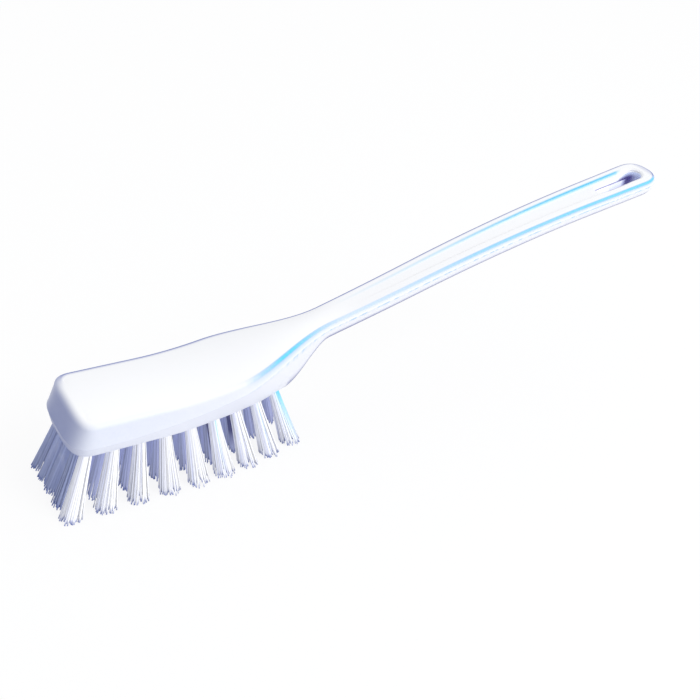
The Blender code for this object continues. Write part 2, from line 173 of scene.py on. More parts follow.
def parting_height(x):
    """Height of the seam line."""
    return rim_height(x) - eased(x, PARTING_PLACES, PARTING_DROPS)


def underside_height(x):
    """The head's flat underside, a soft rise under the neck, then the handle's underside."""
    return (rim_height(x) - HANDLE_DEPTH) * smooth((x - HEAD_LENGTH) / NECK_LENGTH)


print("the seam's height at the neck's start in mm:", round(parting_height(HEAD_LENGTH) / MM, 1))

# %% [markdown]
# A wall goes all the way round this outline. Where the outline turns, at the front and at
# the handle's end, a station is an angle on a squared-off ellipse, and along the sides it
# is a place along the brush. Every line of the wall uses the same stations, so the wall
# becomes a clean grid of four-sided faces, which shades smoothly.

# %% Stations round the outline
SIDE = pi / 2
CORNER = pi / 4
FRONT_CAP = 12.0 * MM
END_CAP = 10.0 * MM
FRONT_SQUARENESS = 3.6
END_SQUARENESS = 2.5
HALF_COLUMNS = 14
CAP_ROWS = 12
SIDE_STEP = 2.0 * MM
NECK_STEPS = 14


def cap_turns(squareness):
    """Turns round an end, from its middle to its corner and on to the side."""
    power = squareness / 2.0
    shares = [column / HALF_COLUMNS for column in range(HALF_COLUMNS + 1)]
    front = [max(asin(share**power * sin(CORNER)), TINY) for share in shares]
    return front + [CORNER + (SIDE - CORNER) * row / CAP_ROWS for row in range(1, CAP_ROWS)]


def side_places():
    """Places along the side, closest where the underside rises steeply."""
    rise = [HEAD_LENGTH + NECK_LENGTH * step / NECK_STEPS for step in range(NECK_STEPS)]
    head = np.arange(FRONT_CAP, HEAD_LENGTH - SIDE_STEP / 2, SIDE_STEP)
    grip = np.arange(NECK_END, TOTAL_LENGTH - END_CAP - SIDE_STEP / 2, SIDE_STEP)
    return [*head, *rise, *grip, TOTAL_LENGTH - END_CAP]


stations = [(None, -turn) for turn in cap_turns(FRONT_SQUARENESS)]
stations += [(float(x), SIDE) for x in side_places()]
stations += [(None, turn) for turn in cap_turns(END_SQUARENESS)][::-1]
print("stations down one side:", len(stations))

# %% [markdown]
# At each station the wall is a short profile, from the top's edge down to the underside.
# It starts with a rounded edge and a side that leans in a little, because a wall without
# that draft would scrape as the piece leaves its mould. The rounding is stepped by angle,
# so its points lie evenly on the curve, and at its top it meets the swell of the crown.

# %% The rounded top edge
SIDE_DRAFT = 0.4 * MM
FRONT_DRAFT = 2.9 * MM
HEAD_FILLET = 2.0 * MM
FRONT_FILLET = 3.0 * MM
HANDLE_FILLET = 1.2 * MM
FILLET_STEPS = 8
CROWN_PLACES = [0.0, 70.0 * MM, NECK_END, NECK_END + 10.0 * MM]
CROWN_HEIGHTS = [1.2 * MM, 2.0 * MM, 1.2 * MM, 0.0]


def edge_fillet(x):
    return HEAD_FILLET + (HANDLE_FILLET - HEAD_FILLET) * on_handle(x)


def top_half_width(x):
    return half_width(x) - SIDE_DRAFT - edge_fillet(x)


def crown_height(x):
    """How far the middle of the top stands above its edges."""
    return eased(x, CROWN_PLACES, CROWN_HEIGHTS)


print("the crown at its highest in mm:", round(max(map(crown_height, CROWN_PLACES)) / MM, 1))

# %% [markdown]
# A line of the wall is set back from the outline by some distance at the front, at the end
# and along the sides. One function places such a line at any station, and the rounded edge
# is nine of these lines. The front's rounding is larger than the sides', so it grows with
# how squarely a station faces the front.

# %% Lines round the outline
def facing_front(station):
    """One in the middle of the front, and nought along the sides and round the end."""
    x, turn = station
    return cos(turn) ** 2 if x is None and turn < 0.0 else 0.0


def outline_place(station, front_setback, end_setback, inset):
    """Where a line round the outline passes a station: on a side, or round either end."""
    x, turn = station
    if x is not None:
        return x, -(half_width(x) - inset(x))
    power = 2.0 / (FRONT_SQUARENESS if turn < 0.0 else END_SQUARENESS)
    along, across = cos(turn) ** power, sin(abs(turn)) ** power
    if turn < 0.0:
        x = front_setback + (FRONT_CAP - front_setback) * (1.0 - along)
    else:
        x = TOTAL_LENGTH - end_setback - (END_CAP - end_setback) * (1.0 - along)
    return x, -(half_width(x) - inset(x)) * across


def upper_points(station):
    """The rounded top edge, down to where the leaning side begins."""
    crown, points = None, []
    for step in range(FILLET_STEPS + 1):
        angle = SIDE * (1.0 - step / FILLET_STEPS)
        back = 1.0 - cos(angle)
        x, y = outline_place(
            station,
            FRONT_DRAFT + FRONT_FILLET * back,
            SIDE_DRAFT + HANDLE_FILLET * back,
            lambda at: SIDE_DRAFT + edge_fillet(at) * back,
        )
        if crown is None:
            crown = crown_height(x) * (1.0 - min(abs(y) / top_half_width(x), 1.0) ** 2)
        fillet = edge_fillet(x) + (FRONT_FILLET - edge_fillet(x)) * facing_front(station)
        points.append((x, y, rim_height(x) + crown - fillet * (1.0 - sin(angle))))
    return points


print("points on the edge at one station:", len(upper_points(stations[0])))

# %% [markdown]
# Below the seam the wall is nearly straight on the head and round on the handle. Both are
# one Bezier curve from the seam to the underside's edge. Its middle point moves outward and
# down as the roundness grows, so the shoulder blends from one to the other without a join.

# %% The lower wall
FRONT_FOOT = 0.8 * MM
END_FOOT = 2.6 * MM
HEAD_ROUNDNESS = 0.15


def lower_point(station, along, proud=0.0):
    """A point between the seam and the underside's edge, on a rounded curve."""
    end_cap = station[0] is None and station[1] > 0.0
    rounder = 1.0 if end_cap else on_handle(station[0] or 0.0)
    roundness = HEAD_ROUNDNESS + (1.0 - HEAD_ROUNDNESS) * rounder
    bend = along * (1.0 - along) * (1.0 - roundness) + along**2
    x, y = outline_place(
        station,
        FRONT_FOOT * bend - proud,
        END_FOOT * bend - proud,
        lambda at: (half_width(at) - flat_half_width(at)) * bend - proud,
    )
    high, low = parting_height(x), underside_height(x)
    middle = (high + low) / 2 * (1.0 - roundness) + low * roundness
    turn = 2.0 * along * (1.0 - along)
    return x, y, (1.0 - along) ** 2 * high + turn * middle + along**2 * low


front_edge = lower_point(stations[0], 1.0)
print("the front's lower edge lies back by mm:", round(front_edge[0] / MM, 2))

# %% [markdown]
# The seam stands out a tenth of a millimetre, as the flash of a real mould does, between a
# point just above it and one just below. The foot of the wall, where it meets the flat
# underside, has a small rounding of its own, and one more point lies beyond it on the
# flat, so that the rounding's shading stays in its own narrow strip.

# %% The seam, the foot and the whole wall
FOOT_ROUNDING = 0.45 * MM
FOOT_MARGIN = 2.5
SEAM_PROUD = 0.1 * MM
ABOVE_SEAM = 0.12
BELOW_SEAM = 0.08
LOWER_STEPS = 8
FOOT_STEPS = 3


def foot_points(station):
    """Round the corner between the lower wall and the flat underside."""
    corner = np.array(lower_point(station, 1.0))
    before = np.array(lower_point(station, 1.0 - 0.5 / LOWER_STEPS))
    up = (before - corner) / np.linalg.norm(before - corner)
    centre = np.array((corner[0], 0.0, corner[2]))
    if station[0] is None:
        x = FRONT_CAP if station[1] < 0.0 else TOTAL_LENGTH - END_CAP
        centre = np.array((x, 0.0, underside_height(x)))
    inward = centre - corner
    inward /= max(np.linalg.norm(inward), TINY)
    start, end = corner + up * FOOT_ROUNDING, corner + inward * FOOT_ROUNDING
    points = []
    for step in range(FOOT_STEPS + 1):
        share = step / FOOT_STEPS
        points.append(tuple((1 - share) ** 2 * start + 2 * share * (1 - share) * corner
                            + share**2 * end))
    return points + [tuple(corner + inward * FOOT_ROUNDING * FOOT_MARGIN)]


def wall_points(station):
    """Points down the wall at one station."""
    points = upper_points(station)
    seam = np.array(lower_point(station, 0.0))
    above, below = np.array(points[-1]), lower_point(station, BELOW_SEAM)
    points.append(tuple(seam + (above - seam) * ABOVE_SEAM))
    points.append(lower_point(station, 0.0, SEAM_PROUD))
    points.append(below)
    points += [lower_point(station, step / LOWER_STEPS) for step in range(1, LOWER_STEPS)]
    return points + foot_points(station)


walls = [wall_points(station) for station in stations]
print("points down each wall:", len(walls[0]))

# %% [markdown]
# The handle has a shallow channel in its top, which saves plastic and gives the fingers an
# edge. It fades in behind the neck, widens and ends round beyond the slot. It is written as
# a height that depends only on how far inside its outline a point lies, so its side keeps
# one soft shape all the way round the end. A Boolean with a second loft would do it too,
# but would leave a hard line where the channel fades in.

# %% The channel in the handle
CHANNEL_START = NECK_END + 10.0 * MM
CHANNEL_RAMP = 110.0 * MM
CHANNEL_DEPTH = 1.2 * MM
CHANNEL_SIDE = 1.1 * MM
CHANNEL_END = TOTAL_LENGTH - 4.6 * MM
CHANNEL_WIDTH_IN_MM = 5.0
CHANNEL_WIDENING_IN_MM = 5.6


def channel_half_width(x):
    along = between((x - CHANNEL_START) / (CHANNEL_END - CHANNEL_START))
    return (CHANNEL_WIDTH_IN_MM + CHANNEL_WIDENING_IN_MM * along) / 2 * MM


def inside_channel(x, y):
    """How far inside the channel's outline a place on the top lies."""
    round_centre = CHANNEL_END - channel_half_width(CHANNEL_END)
    if x > round_centre:
        return channel_half_width(CHANNEL_END) - hypot(x - round_centre, y)
    return channel_half_width(x) - abs(y)


def channel_drop(x, y):
    """How far the channel lies below the land at a place on the top."""
    depth = CHANNEL_DEPTH * between((x - CHANNEL_START) / CHANNEL_RAMP)
    return depth * smooth(inside_channel(x, y) / CHANNEL_SIDE)


print("the channel's width at its end in mm:", round(2 * channel_half_width(CHANNEL_END) / MM, 1))

# %% [markdown]
# The top is a grid across the two walls. Even columns would step across the channel's side
# at any place and leave it jagged, so on the handle the columns slide until four of them
# lie on the channel's own lines: the floor's edge, the land's edge, a strip of land beside
# it, and the wall.

# %% The top's grid
LINE_COLUMNS = [0, 3, 8, 11, HALF_COLUMNS]
FLOOR_EDGE = CHANNEL_SIDE * 1.1
LAND_EDGE = 0.1 * MM
LAND_STRIP = 1.3 * MM
WIDEST_CHANNEL = 0.85
LINE_UP_BEHIND_NECK = 12.0 * MM
LINE_UP_BEFORE_END = 9.0 * MM


def column_share(column, x, half):
    """The share of the half width at which a column of the top's grid lies."""
    even = column / HALF_COLUMNS
    edge = min(channel_half_width(x), half * WIDEST_CHANNEL)
    strip = min(edge + LAND_STRIP, (edge + half) / 2)
    lines = [0.0, edge - FLOOR_EDGE, edge + LAND_EDGE, strip, half]
    lined = float(np.interp(column, LINE_COLUMNS, lines)) / half
    lined_up = smooth((x - NECK_END) / LINE_UP_BEHIND_NECK)
    lined_up *= smooth((TOTAL_LENGTH - x) / LINE_UP_BEFORE_END)
    return even + (lined - even) * lined_up


def top_point(x, y, half):
    crown = crown_height(x) * (1.0 - (y / half) ** 2)
    return x, y, rim_height(x) + crown - channel_drop(x, y)


def top_row(x, half):
    """Points from the middle of the top to its near edge, without the edge itself."""
    shares = [column_share(column, x, half) for column in range(HALF_COLUMNS)]
    return [top_point(x, half * share, half) for share in shares]


print("points in half a row of the top:", len(top_row(HEAD_LENGTH, top_half_width(HEAD_LENGTH))))

# %% [markdown]
# Some painted light and shade follows the shape exactly: a painted blue light along the near
# edge, a thin painted shade on the far one, painted grey shade on the walls that face away
# from the light, a painted highlight at the seam and a painted shade line at the foot. In
# the material, each would need the formulas above all over again. So every point of the
# wall stores how much it belongs to each of these, as a number from nought to one, and the
# material only reads the numbers. The edge's painted blue light comes and goes along the
# brush, so its strength is a short table of places, in millimetres from the front.

# %% Marks of the two edges
MARKS = ("painted_edge_light", "far_edge_shade", "wall", "front_shade", "seam", "foot", "rim_highlight",
         "slot_shade_line", "slot_shade", "slot_deep", "slot_side_glow")
GLOW_PLACES_IN_MM = [5, 12, 32, 42, 61, 66, 70, 74, 79, 84, 91, 99, 106, 113, 140, 155, 175,
                     200, 230, 262]
GLOW_SHARES = [0, 0.05, 0.04, 0, 0, 0.06, 0.35, 0.6, 0.78, 1, 0.97, 0.73, 0.52, 0.36, 0.46,
               0.55, 0.75, 0.82, 0.9, 0.95]
END_TURN = 0.5
END_TURN_REACH = 0.6
GLOW_BELOW_EDGE = 0.35
FAR_LINE_START = 0.1
FAR_LINE_RISE = 0.22
FAR_LINE_FADE = 3


def mark_edge(layers, vert, place, station, side):
    """Mark the near edge's painted blue light, and the far edge's thin painted shade line."""
    painted_edge_light, far_edge_shade = layers[:2]
    x_station, turn = station
    round_end = smooth((abs(turn) - END_TURN) / END_TURN_REACH)
    down = min(place / FILLET_STEPS, 1.0)
    if side > 0.0 and place <= FILLET_STEPS:
        x = vert.co.x - body_low.x
        glow = float(np.interp(x / MM, GLOW_PLACES_IN_MM, GLOW_SHARES)) * round_end
        vert[painted_edge_light] = glow * max(sin(pi * down) ** 0.5, GLOW_BELOW_EDGE * down)
    if place < FILLET_STEPS:
        line = smooth((down + FAR_LINE_START) / FAR_LINE_RISE)
        line *= smooth((FILLET_STEPS - place) / FAR_LINE_FADE)
        if side > 0.0:
            line *= 1.0 - round_end if x_station is None and turn > 0.0 else 0.0
        vert[far_edge_shade] = line * (1.0 - facing_front(station))


print("marks stored on each point:", len(MARKS))

# %% [markdown]
# The head's walls take on their painted shade round the top edge and keep it down to the
# seam. Below the seam and toward the neck there is less of it, and none on the flat
# underside. The seam's painted highlight is one row of points. The foot's painted shade line
# starts where the head ends and widens along the neck. Its mark is full on the last points,
# which the underside's faces share, so the handle's underside gets the painted shade too.

# %% Marks of the walls, the seam and the foot
SEAM_ROW = FILLET_STEPS + 2
LOWER_SHADE = 0.6
SHADE_FADE = 0.55
FOOT_LINE = 0.42
FOOT_LINE_WIDER = 0.17
FOOT_LINE_RISE = 0.3
FOOT_LINE_START = 2.0 * MM
FOOT_WIDENING_START = 6.0 * MM
FOOT_EDGE_START = 0.5 * MM


def mark_wall(layers, verts, station):
    """Mark the painted shade on the side and the front, the seam's painted highlight and the
    foot's painted shade line.
    """
    wall, front_shade, seam, foot = layers[2:6]
    first_lower = len(verts) - LOWER_STEPS - FOOT_STEPS - 1
    for place, vert in enumerate(verts):
        x = vert.co.x - body_low.x
        below_edge = smooth(min(place / FILLET_STEPS, 1.0))
        shade = below_edge * (1.0 if place <= SEAM_ROW else LOWER_SHADE) * (1.0 - on_handle(x))
        # painted shade on the head's walls
        vert[wall] = shade * (1.0 - SHADE_FADE * min(x / HEAD_LENGTH, 1.0))
        vert[front_shade] = facing_front(station) * below_edge
        lowered = (place - first_lower + 1) / LOWER_STEPS
        from_head = smooth((x - HEAD_LENGTH) / FOOT_LINE_START)
        widening = x - HEAD_LENGTH - FOOT_WIDENING_START
        past_neck = smooth(widening / (NECK_LENGTH - FOOT_WIDENING_START))
        line = smooth((lowered - FOOT_LINE + FOOT_LINE_WIDER * past_neck) / FOOT_LINE_RISE)
        # painted shade: the line at the foot, and the handle's underside beyond it
        vert[foot] = from_head * line
    # painted highlight along the seam's real ridge, on the handle
    verts[SEAM_ROW][seam] = on_handle(verts[0].co.x - body_low.x)
    for vert in verts[-FOOT_STEPS - 1:]:
        vert[wall] = 0.0
        past_head = vert.co.x - body_low.x > HEAD_LENGTH + FOOT_EDGE_START
        vert[foot] = 1.0 if past_head else 0.0


print("the seam is row", SEAM_ROW, "of", len(walls[0]))

# %% [markdown]
# A bmesh gathers it all. The top's rows run from wall to wall, and the far half of each row
# carries one more mark, the painted blue highlight along the channel's far rim. That
# highlight lies just outside the channel and fades in and out along the handle, from a short
# table of places.

# %% The top
RIM_PLACES_IN_MM = [112, 130, 165, 185, 210, 240, 260, 263]
RIM_SHARES = [0, 0.15, 0.4, 0.65, 0.9, 1, 0.95, 0]
RIM_LINE_OUT = 0.05 * MM
RIM_LINE_REACH = 0.8 * MM
LINE_CORE = 1.3


def add_top(bm, rim_highlight, near, far):
    """Rows of points across the top, from the front's edge to the handle end's edge."""
    last, corner = len(near) - 1, HALF_COLUMNS
    front = [near[i][0] for i in range(corner, -1, -1)]
    rows = [front + [far[i][0] for i in range(1, corner + 1)]]
    for index in range(corner + 1, last - corner):
        x, y = walls[index][0][:2]
        half = top_row(x, -y)
        nearer = [bm.verts.new(in_frame(px, -py, pz)) for px, py, pz in half[:0:-1]]
        farther = [bm.verts.new(in_frame(*point)) for point in half]
        # painted highlight: the blue line along the channel's far rim
        glow = float(np.interp(x / MM, RIM_PLACES_IN_MM, RIM_SHARES))
        for vert in farther:
            from_line = abs(inside_channel(x, vert.co.y) + RIM_LINE_OUT)
            vert[rim_highlight] = glow * between(LINE_CORE - from_line / RIM_LINE_REACH)
        rows.append([near[index][0]] + nearer + farther + [far[index][0]])
    ends = range(last - corner, last + 1)
    rows.append([near[i][0] for i in ends] + [far[i][0] for i in ends][-2::-1])
    for this, after in zip(rows, rows[1:]):
        for a, b, c, d in zip(this, this[1:], after, after[1:]):
            bm.faces.new((a, b, d, c))


print("the far rim's line runs from and to, in mm:", RIM_PLACES_IN_MM[0], RIM_PLACES_IN_MM[-1])

# %% [markdown]
# The underside needs no grid: the head's flat and the flat of the handle's end are one face
# each, and between them, under the neck and the grip, a strip of four-sided faces follows
# the curve. Where a flat starts is found from the stations' places, with a hundredth of a
# millimetre to spare for rounding errors.

# %% The underside
NEARLY = 0.01 * MM


def add_underside(bm, near, far):
    """The head's flat, the strips under neck and grip, and the flat of the handle's end."""
    places = [wall[-1][0] for wall in walls]
    start = next(i for i, x in enumerate(places) if x > HEAD_LENGTH - NEARLY)
    finish = next(i for i, x in enumerate(places) if x > GRIP_END - NEARLY)
    head = [far[i][-1] for i in range(start, 0, -1)] + [near[i][-1] for i in range(start + 1)]
    bm.faces.new(head)
    for i in range(start, finish):
        bm.faces.new((near[i][-1], near[i + 1][-1], far[i + 1][-1], far[i][-1]))
    last = len(near) - 1
    end = [near[i][-1] for i in range(finish, last + 1)]
    bm.faces.new(end + [far[i][-1] for i in range(last - 1, finish - 1, -1)])


print("the handle end's flat is", round((TOTAL_LENGTH - GRIP_END) / MM, 1), "mm long")

# %% [markdown]
# The near wall has its mirror image across the middle plane, neighbouring stations are
# joined by faces, and the top and the underside close the piece. Only the near side gets
# the edge's blue light, so each wall is told which side it is on.

# %% Put the moulded piece together
def finished(bm, name):
    """Turn a bmesh into an object in the scene, with its faces pointing out."""
    bmesh.ops.recalc_face_normals(bm, faces=bm.faces)
    mesh = bpy.data.meshes.new(name)
    bm.to_mesh(mesh)
    bm.free()
    made = bpy.data.objects.new(name, mesh)
    bpy.context.scene.collection.objects.link(made)
    return made


def new_wall(bm, layers, station, points, side):
    """The points of one wall at one station, with their marks."""
    verts = [bm.verts.new(in_frame(x, side * y, z)) for x, y, z in points]
    for place, vert in enumerate(verts):
        mark_edge(layers, vert, place, station, side)
    mark_wall(layers, verts, station)
    return verts


def moulded_piece():
    bm = bmesh.new()
    layers = [bm.verts.layers.float.new(name) for name in MARKS]
    near = [new_wall(bm, layers, *pair, 1.0) for pair in zip(stations, walls)]
    far = [new_wall(bm, layers, *pair, -1.0) for pair in zip(stations[1:-1], walls[1:-1])]
    loop = near + far[::-1]
    for this, after in zip(loop, loop[1:] + loop[:1]):
        for top_a, low_a, top_b, low_b in zip(this, this[1:], after, after[1:]):
            bm.faces.new((top_a, low_a, low_b, top_b))
    far = [near[0]] + far + [near[-1]]
    add_top(bm, layers[MARKS.index("rim_highlight")], near, far)
    add_underside(bm, near, far)
    return finished(bm, "moulded_body")


body = moulded_piece()
print("faces in the moulded piece before it is drilled:", len(body.data.polygons))

# %% [markdown]
# The tufts stand in nine straight columns of five, with fewer where the nose gets narrow:
# each column takes as many rows as its width has room for. The rows of a column are evenly
# spaced from its outermost row on the near side to the one on the far side.

# %% Where the tufts stand
TUFT_PITCH = 9.8 * MM
TUFT_FRONT_MARGIN = 7.4 * MM
COLUMNS = [TUFT_FRONT_MARGIN + TUFT_PITCH * column for column in range(9)]
OUTERMOST_ROW = 11.6 * MM
ROW_MARGIN = 3.2 * MM
HOLE_DIAMETER = 4.8 * MM
HOLE_WALL = 0.5 * MM


def outer_row(x):
    """How far the outer rows stand from the middle plane."""
    return min(OUTERMOST_ROW, flat_half_width(x) - ROW_MARGIN)


def row_steps(x):
    """How many steps from row to row the width of the underside leaves room for."""
    return int(2 * outer_row(x) / (HOLE_DIAMETER + HOLE_WALL))


def tuft_roots():
    """Each tuft's column and row and the place of its root, from the near side."""
    places = []
    for column, x in enumerate(COLUMNS, 1):
        steps = row_steps(x)
        for row in range(steps + 1):
            places.append((column, row + 1, x, outer_row(x) * (2 * row / steps - 1.0)))
    return places


roots = tuft_roots()
print("holes and tufts:", len(roots))

# %% [markdown]
# The first columns lean to the front and the last ones to the handle, and the outer rows
# splay outward, so the brush reaches past its own head and gets into corners. On the far
# side the splay is less.

# %% How the tufts lean
LEAN_PLACES = [TUFT_FRONT_MARGIN, 42.0 * MM, HEAD_LENGTH - 3.0 * MM]
LEANS = [-17.5, 5.0, 18.0]
OUTER_SPLAY = tan(radians(11.5))
FAR_SPLAY_SHARE = 0.5


def tuft_tilt(x, y):
    """How far a tuft's tips stand off from its root, for each unit of drop."""
    lean = float(np.interp(x, LEAN_PLACES, LEANS))
    splay = OUTER_SPLAY * y / outer_row(x)
    return tan(radians(lean)), splay * FAR_SPLAY_SHARE if y > 0.0 else splay


print("lean of the first and last column in degrees:", LEANS[0], LEANS[-1])

# %% [markdown]
# A drill makes a round hole for each tuft, turned the way the tuft leans, but never so far
# that two holes meet at the bottom. Cylinders and a difference Boolean do here what the
# drill does, with a true round edge. Holes modelled into the grid by hand would need their
# own ring of faces each.

# %% Drill the holes
HOLE_DEPTH = 8.0 * MM
HOLE_BOTTOM_WALL = 0.2 * MM
HOLE_SEGMENTS = 28
DRILL_LENGTH = HOLE_DEPTH * 1.5


def hole_direction(x, y):
    """The drill's direction, which keeps each hole clear of its neighbours."""
    lean, splay = tuft_tilt(x, y)
    apart = 2 * outer_row(x) / row_steps(x)
    limit = (apart - HOLE_DIAMETER - HOLE_BOTTOM_WALL) / HOLE_DEPTH * abs(y) / apart
    return Vector((lean, between(splay, -limit, limit), -1.0)).normalized()


def drill():
    """One cylinder for each tuft, from below the underside to the top of its hole."""
    bm = bmesh.new()
    for _, _, x, y in roots:
        direction = hole_direction(x, y)
        middle = in_frame(x, y, 0.0) - direction * HOLE_DEPTH / 4
        turn = direction.to_track_quat("Z", "Y").to_matrix().to_4x4()
        bmesh.ops.create_cone(
            bm,
            cap_ends=True,
            segments=HOLE_SEGMENTS,
            radius1=HOLE_DIAMETER / 2,
            radius2=HOLE_DIAMETER / 2,
            depth=DRILL_LENGTH,
            matrix=Matrix.Translation(middle) @ turn,
        )
    return finished(bm, "drill")


def cut_with(piece, cutter):
    """Take a cutter's shape out of a piece, then clear the cutter away."""
    cut = piece.modifiers.new(cutter.name, "BOOLEAN")
    cut.operation = "DIFFERENCE"
    cut.solver = "EXACT"
    cut.object = cutter
    evaluated = piece.evaluated_get(bpy.context.evaluated_depsgraph_get())
    mesh = bpy.data.meshes.new_from_object(evaluated)
    piece.modifiers.clear()
    piece.data = mesh
    bpy.data.objects.remove(cutter, do_unlink=True)


cut_with(body, drill())
print("faces in the drilled piece:", len(body.data.polygons))

# %% [markdown]
# The hanging slot goes straight down through the end of the handle. Its edges are rounded
# in the mould, so the cutter is not a plain prism: it flares out by the rounding where it
# meets the channel's floor and the underside, and follows both as they slope. The rings
# between them give the slot's wall points at the depths where its shading changes.

# %% The slot's outline and rings
SLOT_WIDTH = 6.6 * MM
SLOT_LENGTH = 25.5 * MM
SLOT_END = TOTAL_LENGTH - 5.0 * MM
SLOT_ROUNDING = 0.4 * MM
SLOT_SEGMENTS = 28
SLOT_SIDE_STEPS = 14
FLARE_STEPS = 5
FLARE_TURN = radians(80.0)
FLARE_END = (SLOT_ROUNDING * 1.5, -0.6 * MM)
RING_DEPTHS_IN_MM = (3.4, 3.1, 2.9, 2.7, 2.4, 1.6, 0.9)


def slot_outline(outset):
    """A full-round slot seen from above, this far outside its true edge."""
    radius = SLOT_WIDTH / 2
    ends = [(SLOT_END - radius, -SIDE), (SLOT_END - SLOT_LENGTH + radius, SIDE)]
    places = []
    for (centre, first), (other, _) in zip(ends, ends[::-1]):
        for step in range(SLOT_SEGMENTS + 1):
            angle = first + pi * step / SLOT_SEGMENTS
            x, y = (radius + outset) * cos(angle), (radius + outset) * sin(angle)
            places.append((centre + x, y))
        for step in range(1, SLOT_SIDE_STEPS):
            x = centre + (other - centre) * step / SLOT_SIDE_STEPS
            places.append((x, places[SLOT_SEGMENTS][1] if first < 0.0 else -radius - outset))
    return places


def slot_rings():
    """Each ring's outset and depth, and whether the depth is below the channel's floor."""
    bend = [(SLOT_ROUNDING * (1.0 - cos(angle)), SLOT_ROUNDING * (1.0 - sin(angle)))
            for angle in np.linspace(0.0, FLARE_TURN, FLARE_STEPS)]
    flare = bend + [FLARE_END]
    bottom = [(outset, depth, False) for outset, depth in flare]
    middle = [(0.0, depth * MM, True) for depth in RING_DEPTHS_IN_MM]
    return bottom[::-1] + middle + [(outset, depth, True) for outset, depth in flare]


print("rings in the slot's cutter:", len(slot_rings()))

# %% [markdown]
# The rings are joined into one closed solid and taken out of the handle with the same
# Boolean as the holes. A Bevel modifier could round the slot afterwards, but it would have
# to find its edges in the mesh that the Boolean has just changed.

# %% Cut the slot
def slot_cutter():
    """A closed solid of the rings, from below the underside to above the channel's floor."""
    bm = bmesh.new()
    rings = []
    for outset, depth, below_floor in slot_rings():
        ring = []
        for x, y in slot_outline(outset):
            height = rim_height(x) - HANDLE_DEPTH + depth
            if below_floor:
                height = rim_height(x) - CHANNEL_DEPTH - depth
            ring.append(bm.verts.new(in_frame(x, y, height)))
        rings.append(ring)
    for lower, higher in zip(rings, rings[1:]):
        for a in range(len(lower)):
            b = (a + 1) % len(lower)
            bm.faces.new((lower[a], lower[b], higher[b], higher[a]))
    bm.faces.new(rings[0])
    bm.faces.new(rings[-1])
    return finished(bm, "slot_cutter")


cut_with(body, slot_cutter())
print("faces with the slot cut:", len(body.data.polygons))

# %% [markdown]
# Inside the slot, the wall has a fine painted shade line where the mould's core met, its
# long side gets a painted glow for the light that comes through the thin plastic, and
# painted shade gathers in the end beneath the handle's tip. A Boolean drops what was stored
# on its cutter, so these marks are stored after the cut, from each point's place: how far
# along the slot it lies, and how deep below the channel.

# %% Marks in the slot's wall
SLOT_LINE_DEPTH = 2.9 * MM
SLOT_LINE_REACH = 0.4 * MM
BELOW_LINE, BELOW_LINE_RISE = 0.1 * MM, 0.4 * MM
SHADE_LENGTH, SHADE_RISE = 7.0 * MM, 4.0 * MM
LOW_SHADE_LENGTH, LOW_SHADE_RISE = 5.5 * MM, 1.5 * MM
SHADE_SLANT = 1.3
SHADE_TOP_RISE, LIT_TOP_RISE = 0.3 * MM, 0.4 * MM
DEEPEST_MARK = 4.0 * MM
DEEP_START, DEEP_RISE = 0.6 * MM, 2.0 * MM
TIP_FADE, TIP_SHARE = 3.0 * MM, 0.4
LIT_ABOVE_LINE = 0.35


def slot_marks(x, depth):
    """How much of the painted line, shade, deep shade and side's glow a place in the slot gets.
    """
    below = between(depth, 0.0, DEEPEST_MARK)
    line = between(LINE_CORE - abs(depth - SLOT_LINE_DEPTH) / SLOT_LINE_REACH)
    past_line = smooth((depth - SLOT_LINE_DEPTH - BELOW_LINE) / BELOW_LINE_RISE)
    shade = smooth((x - SLOT_END + SHADE_LENGTH + SHADE_SLANT * below) / SHADE_RISE)
    low_shade = smooth((x - SLOT_END + LOW_SHADE_LENGTH) / LOW_SHADE_RISE)
    shade *= 1.0 - past_line * (1.0 - low_shade)
    shade *= smooth(depth / SHADE_TOP_RISE)
    deep = smooth((below - DEEP_START) / DEEP_RISE)
    deep *= smooth((SLOT_END - x) / TIP_FADE + TIP_SHARE)
    lit = (1.0 - shade) * (1.0 - line) * smooth(depth / LIT_TOP_RISE)
    lit *= LIT_ABOVE_LINE + (1.0 - LIT_ABOVE_LINE) * past_line
    return line * (1.0 - shade), shade, shade * deep, lit


end_marks = slot_marks(SLOT_END, DEEPEST_MARK)
print("marks at the slot's end:", [round(share, 2) for share in end_marks])

# %% [markdown]
# The painted marks go to every point of the slot's wall, and the crest of the channel's near
# side gets a short piece of the painted shade line too. Then the whole piece is shaded
# smooth, except where two faces meet at a sharp angle, as at the holes.

# %% Store the slot's marks and smooth the piece
WALL_TOP = 0.15 * MM
CREST_DEPTHS = (-1.25 * MM, -0.9 * MM)
CREST_REACH = 1.95 * MM
CREST_LINE_LENGTH = 15.0 * MM
CREST_LINE = 0.7
SHARP_ANGLE = radians(32.0)


def shade_slot(piece):
    """Store the slot's painted shade and glow, and the painted shade line on the near crest."""
    stored = [piece.data.attributes[name] for name in MARKS if name.startswith("slot_")]
    radius = SLOT_WIDTH / 2
    start = SLOT_END - SLOT_LENGTH
    for index, vert in enumerate(piece.data.vertices):
        x, y, z = vert.co - in_frame(0.0, 0.0, 0.0)
        reach = hypot(x - between(x, start + radius, SLOT_END - radius), y)
        depth = rim_height(x) - CHANNEL_DEPTH - z
        crest = CREST_DEPTHS[0] < depth < CREST_DEPTHS[1] and reach < radius + CREST_REACH
        if crest and y < 0.0 < x - start < CREST_LINE_LENGTH:
            # painted shade line on the crest of the channel's near side
            stored[0].data[index].value = CREST_LINE
        if reach > radius + SLOT_ROUNDING or depth < WALL_TOP:
            continue
        for mark, value in zip(stored, slot_marks(x, depth)):
            mark.data[index].value = value


shade_slot(body)
body.data.shade_smooth()
body.data.set_sharp_from_angle(angle=SHARP_ANGLE)
print("faces in the moulded piece:", len(body.data.polygons))

# %% [markdown]
# Materials are written as expressions. One small class wraps a value of a material: plain
# arithmetic on it adds Math nodes, and one method adds any other node from its kind, its
# settings and its values. A long material then reads like a recipe, one line a step.

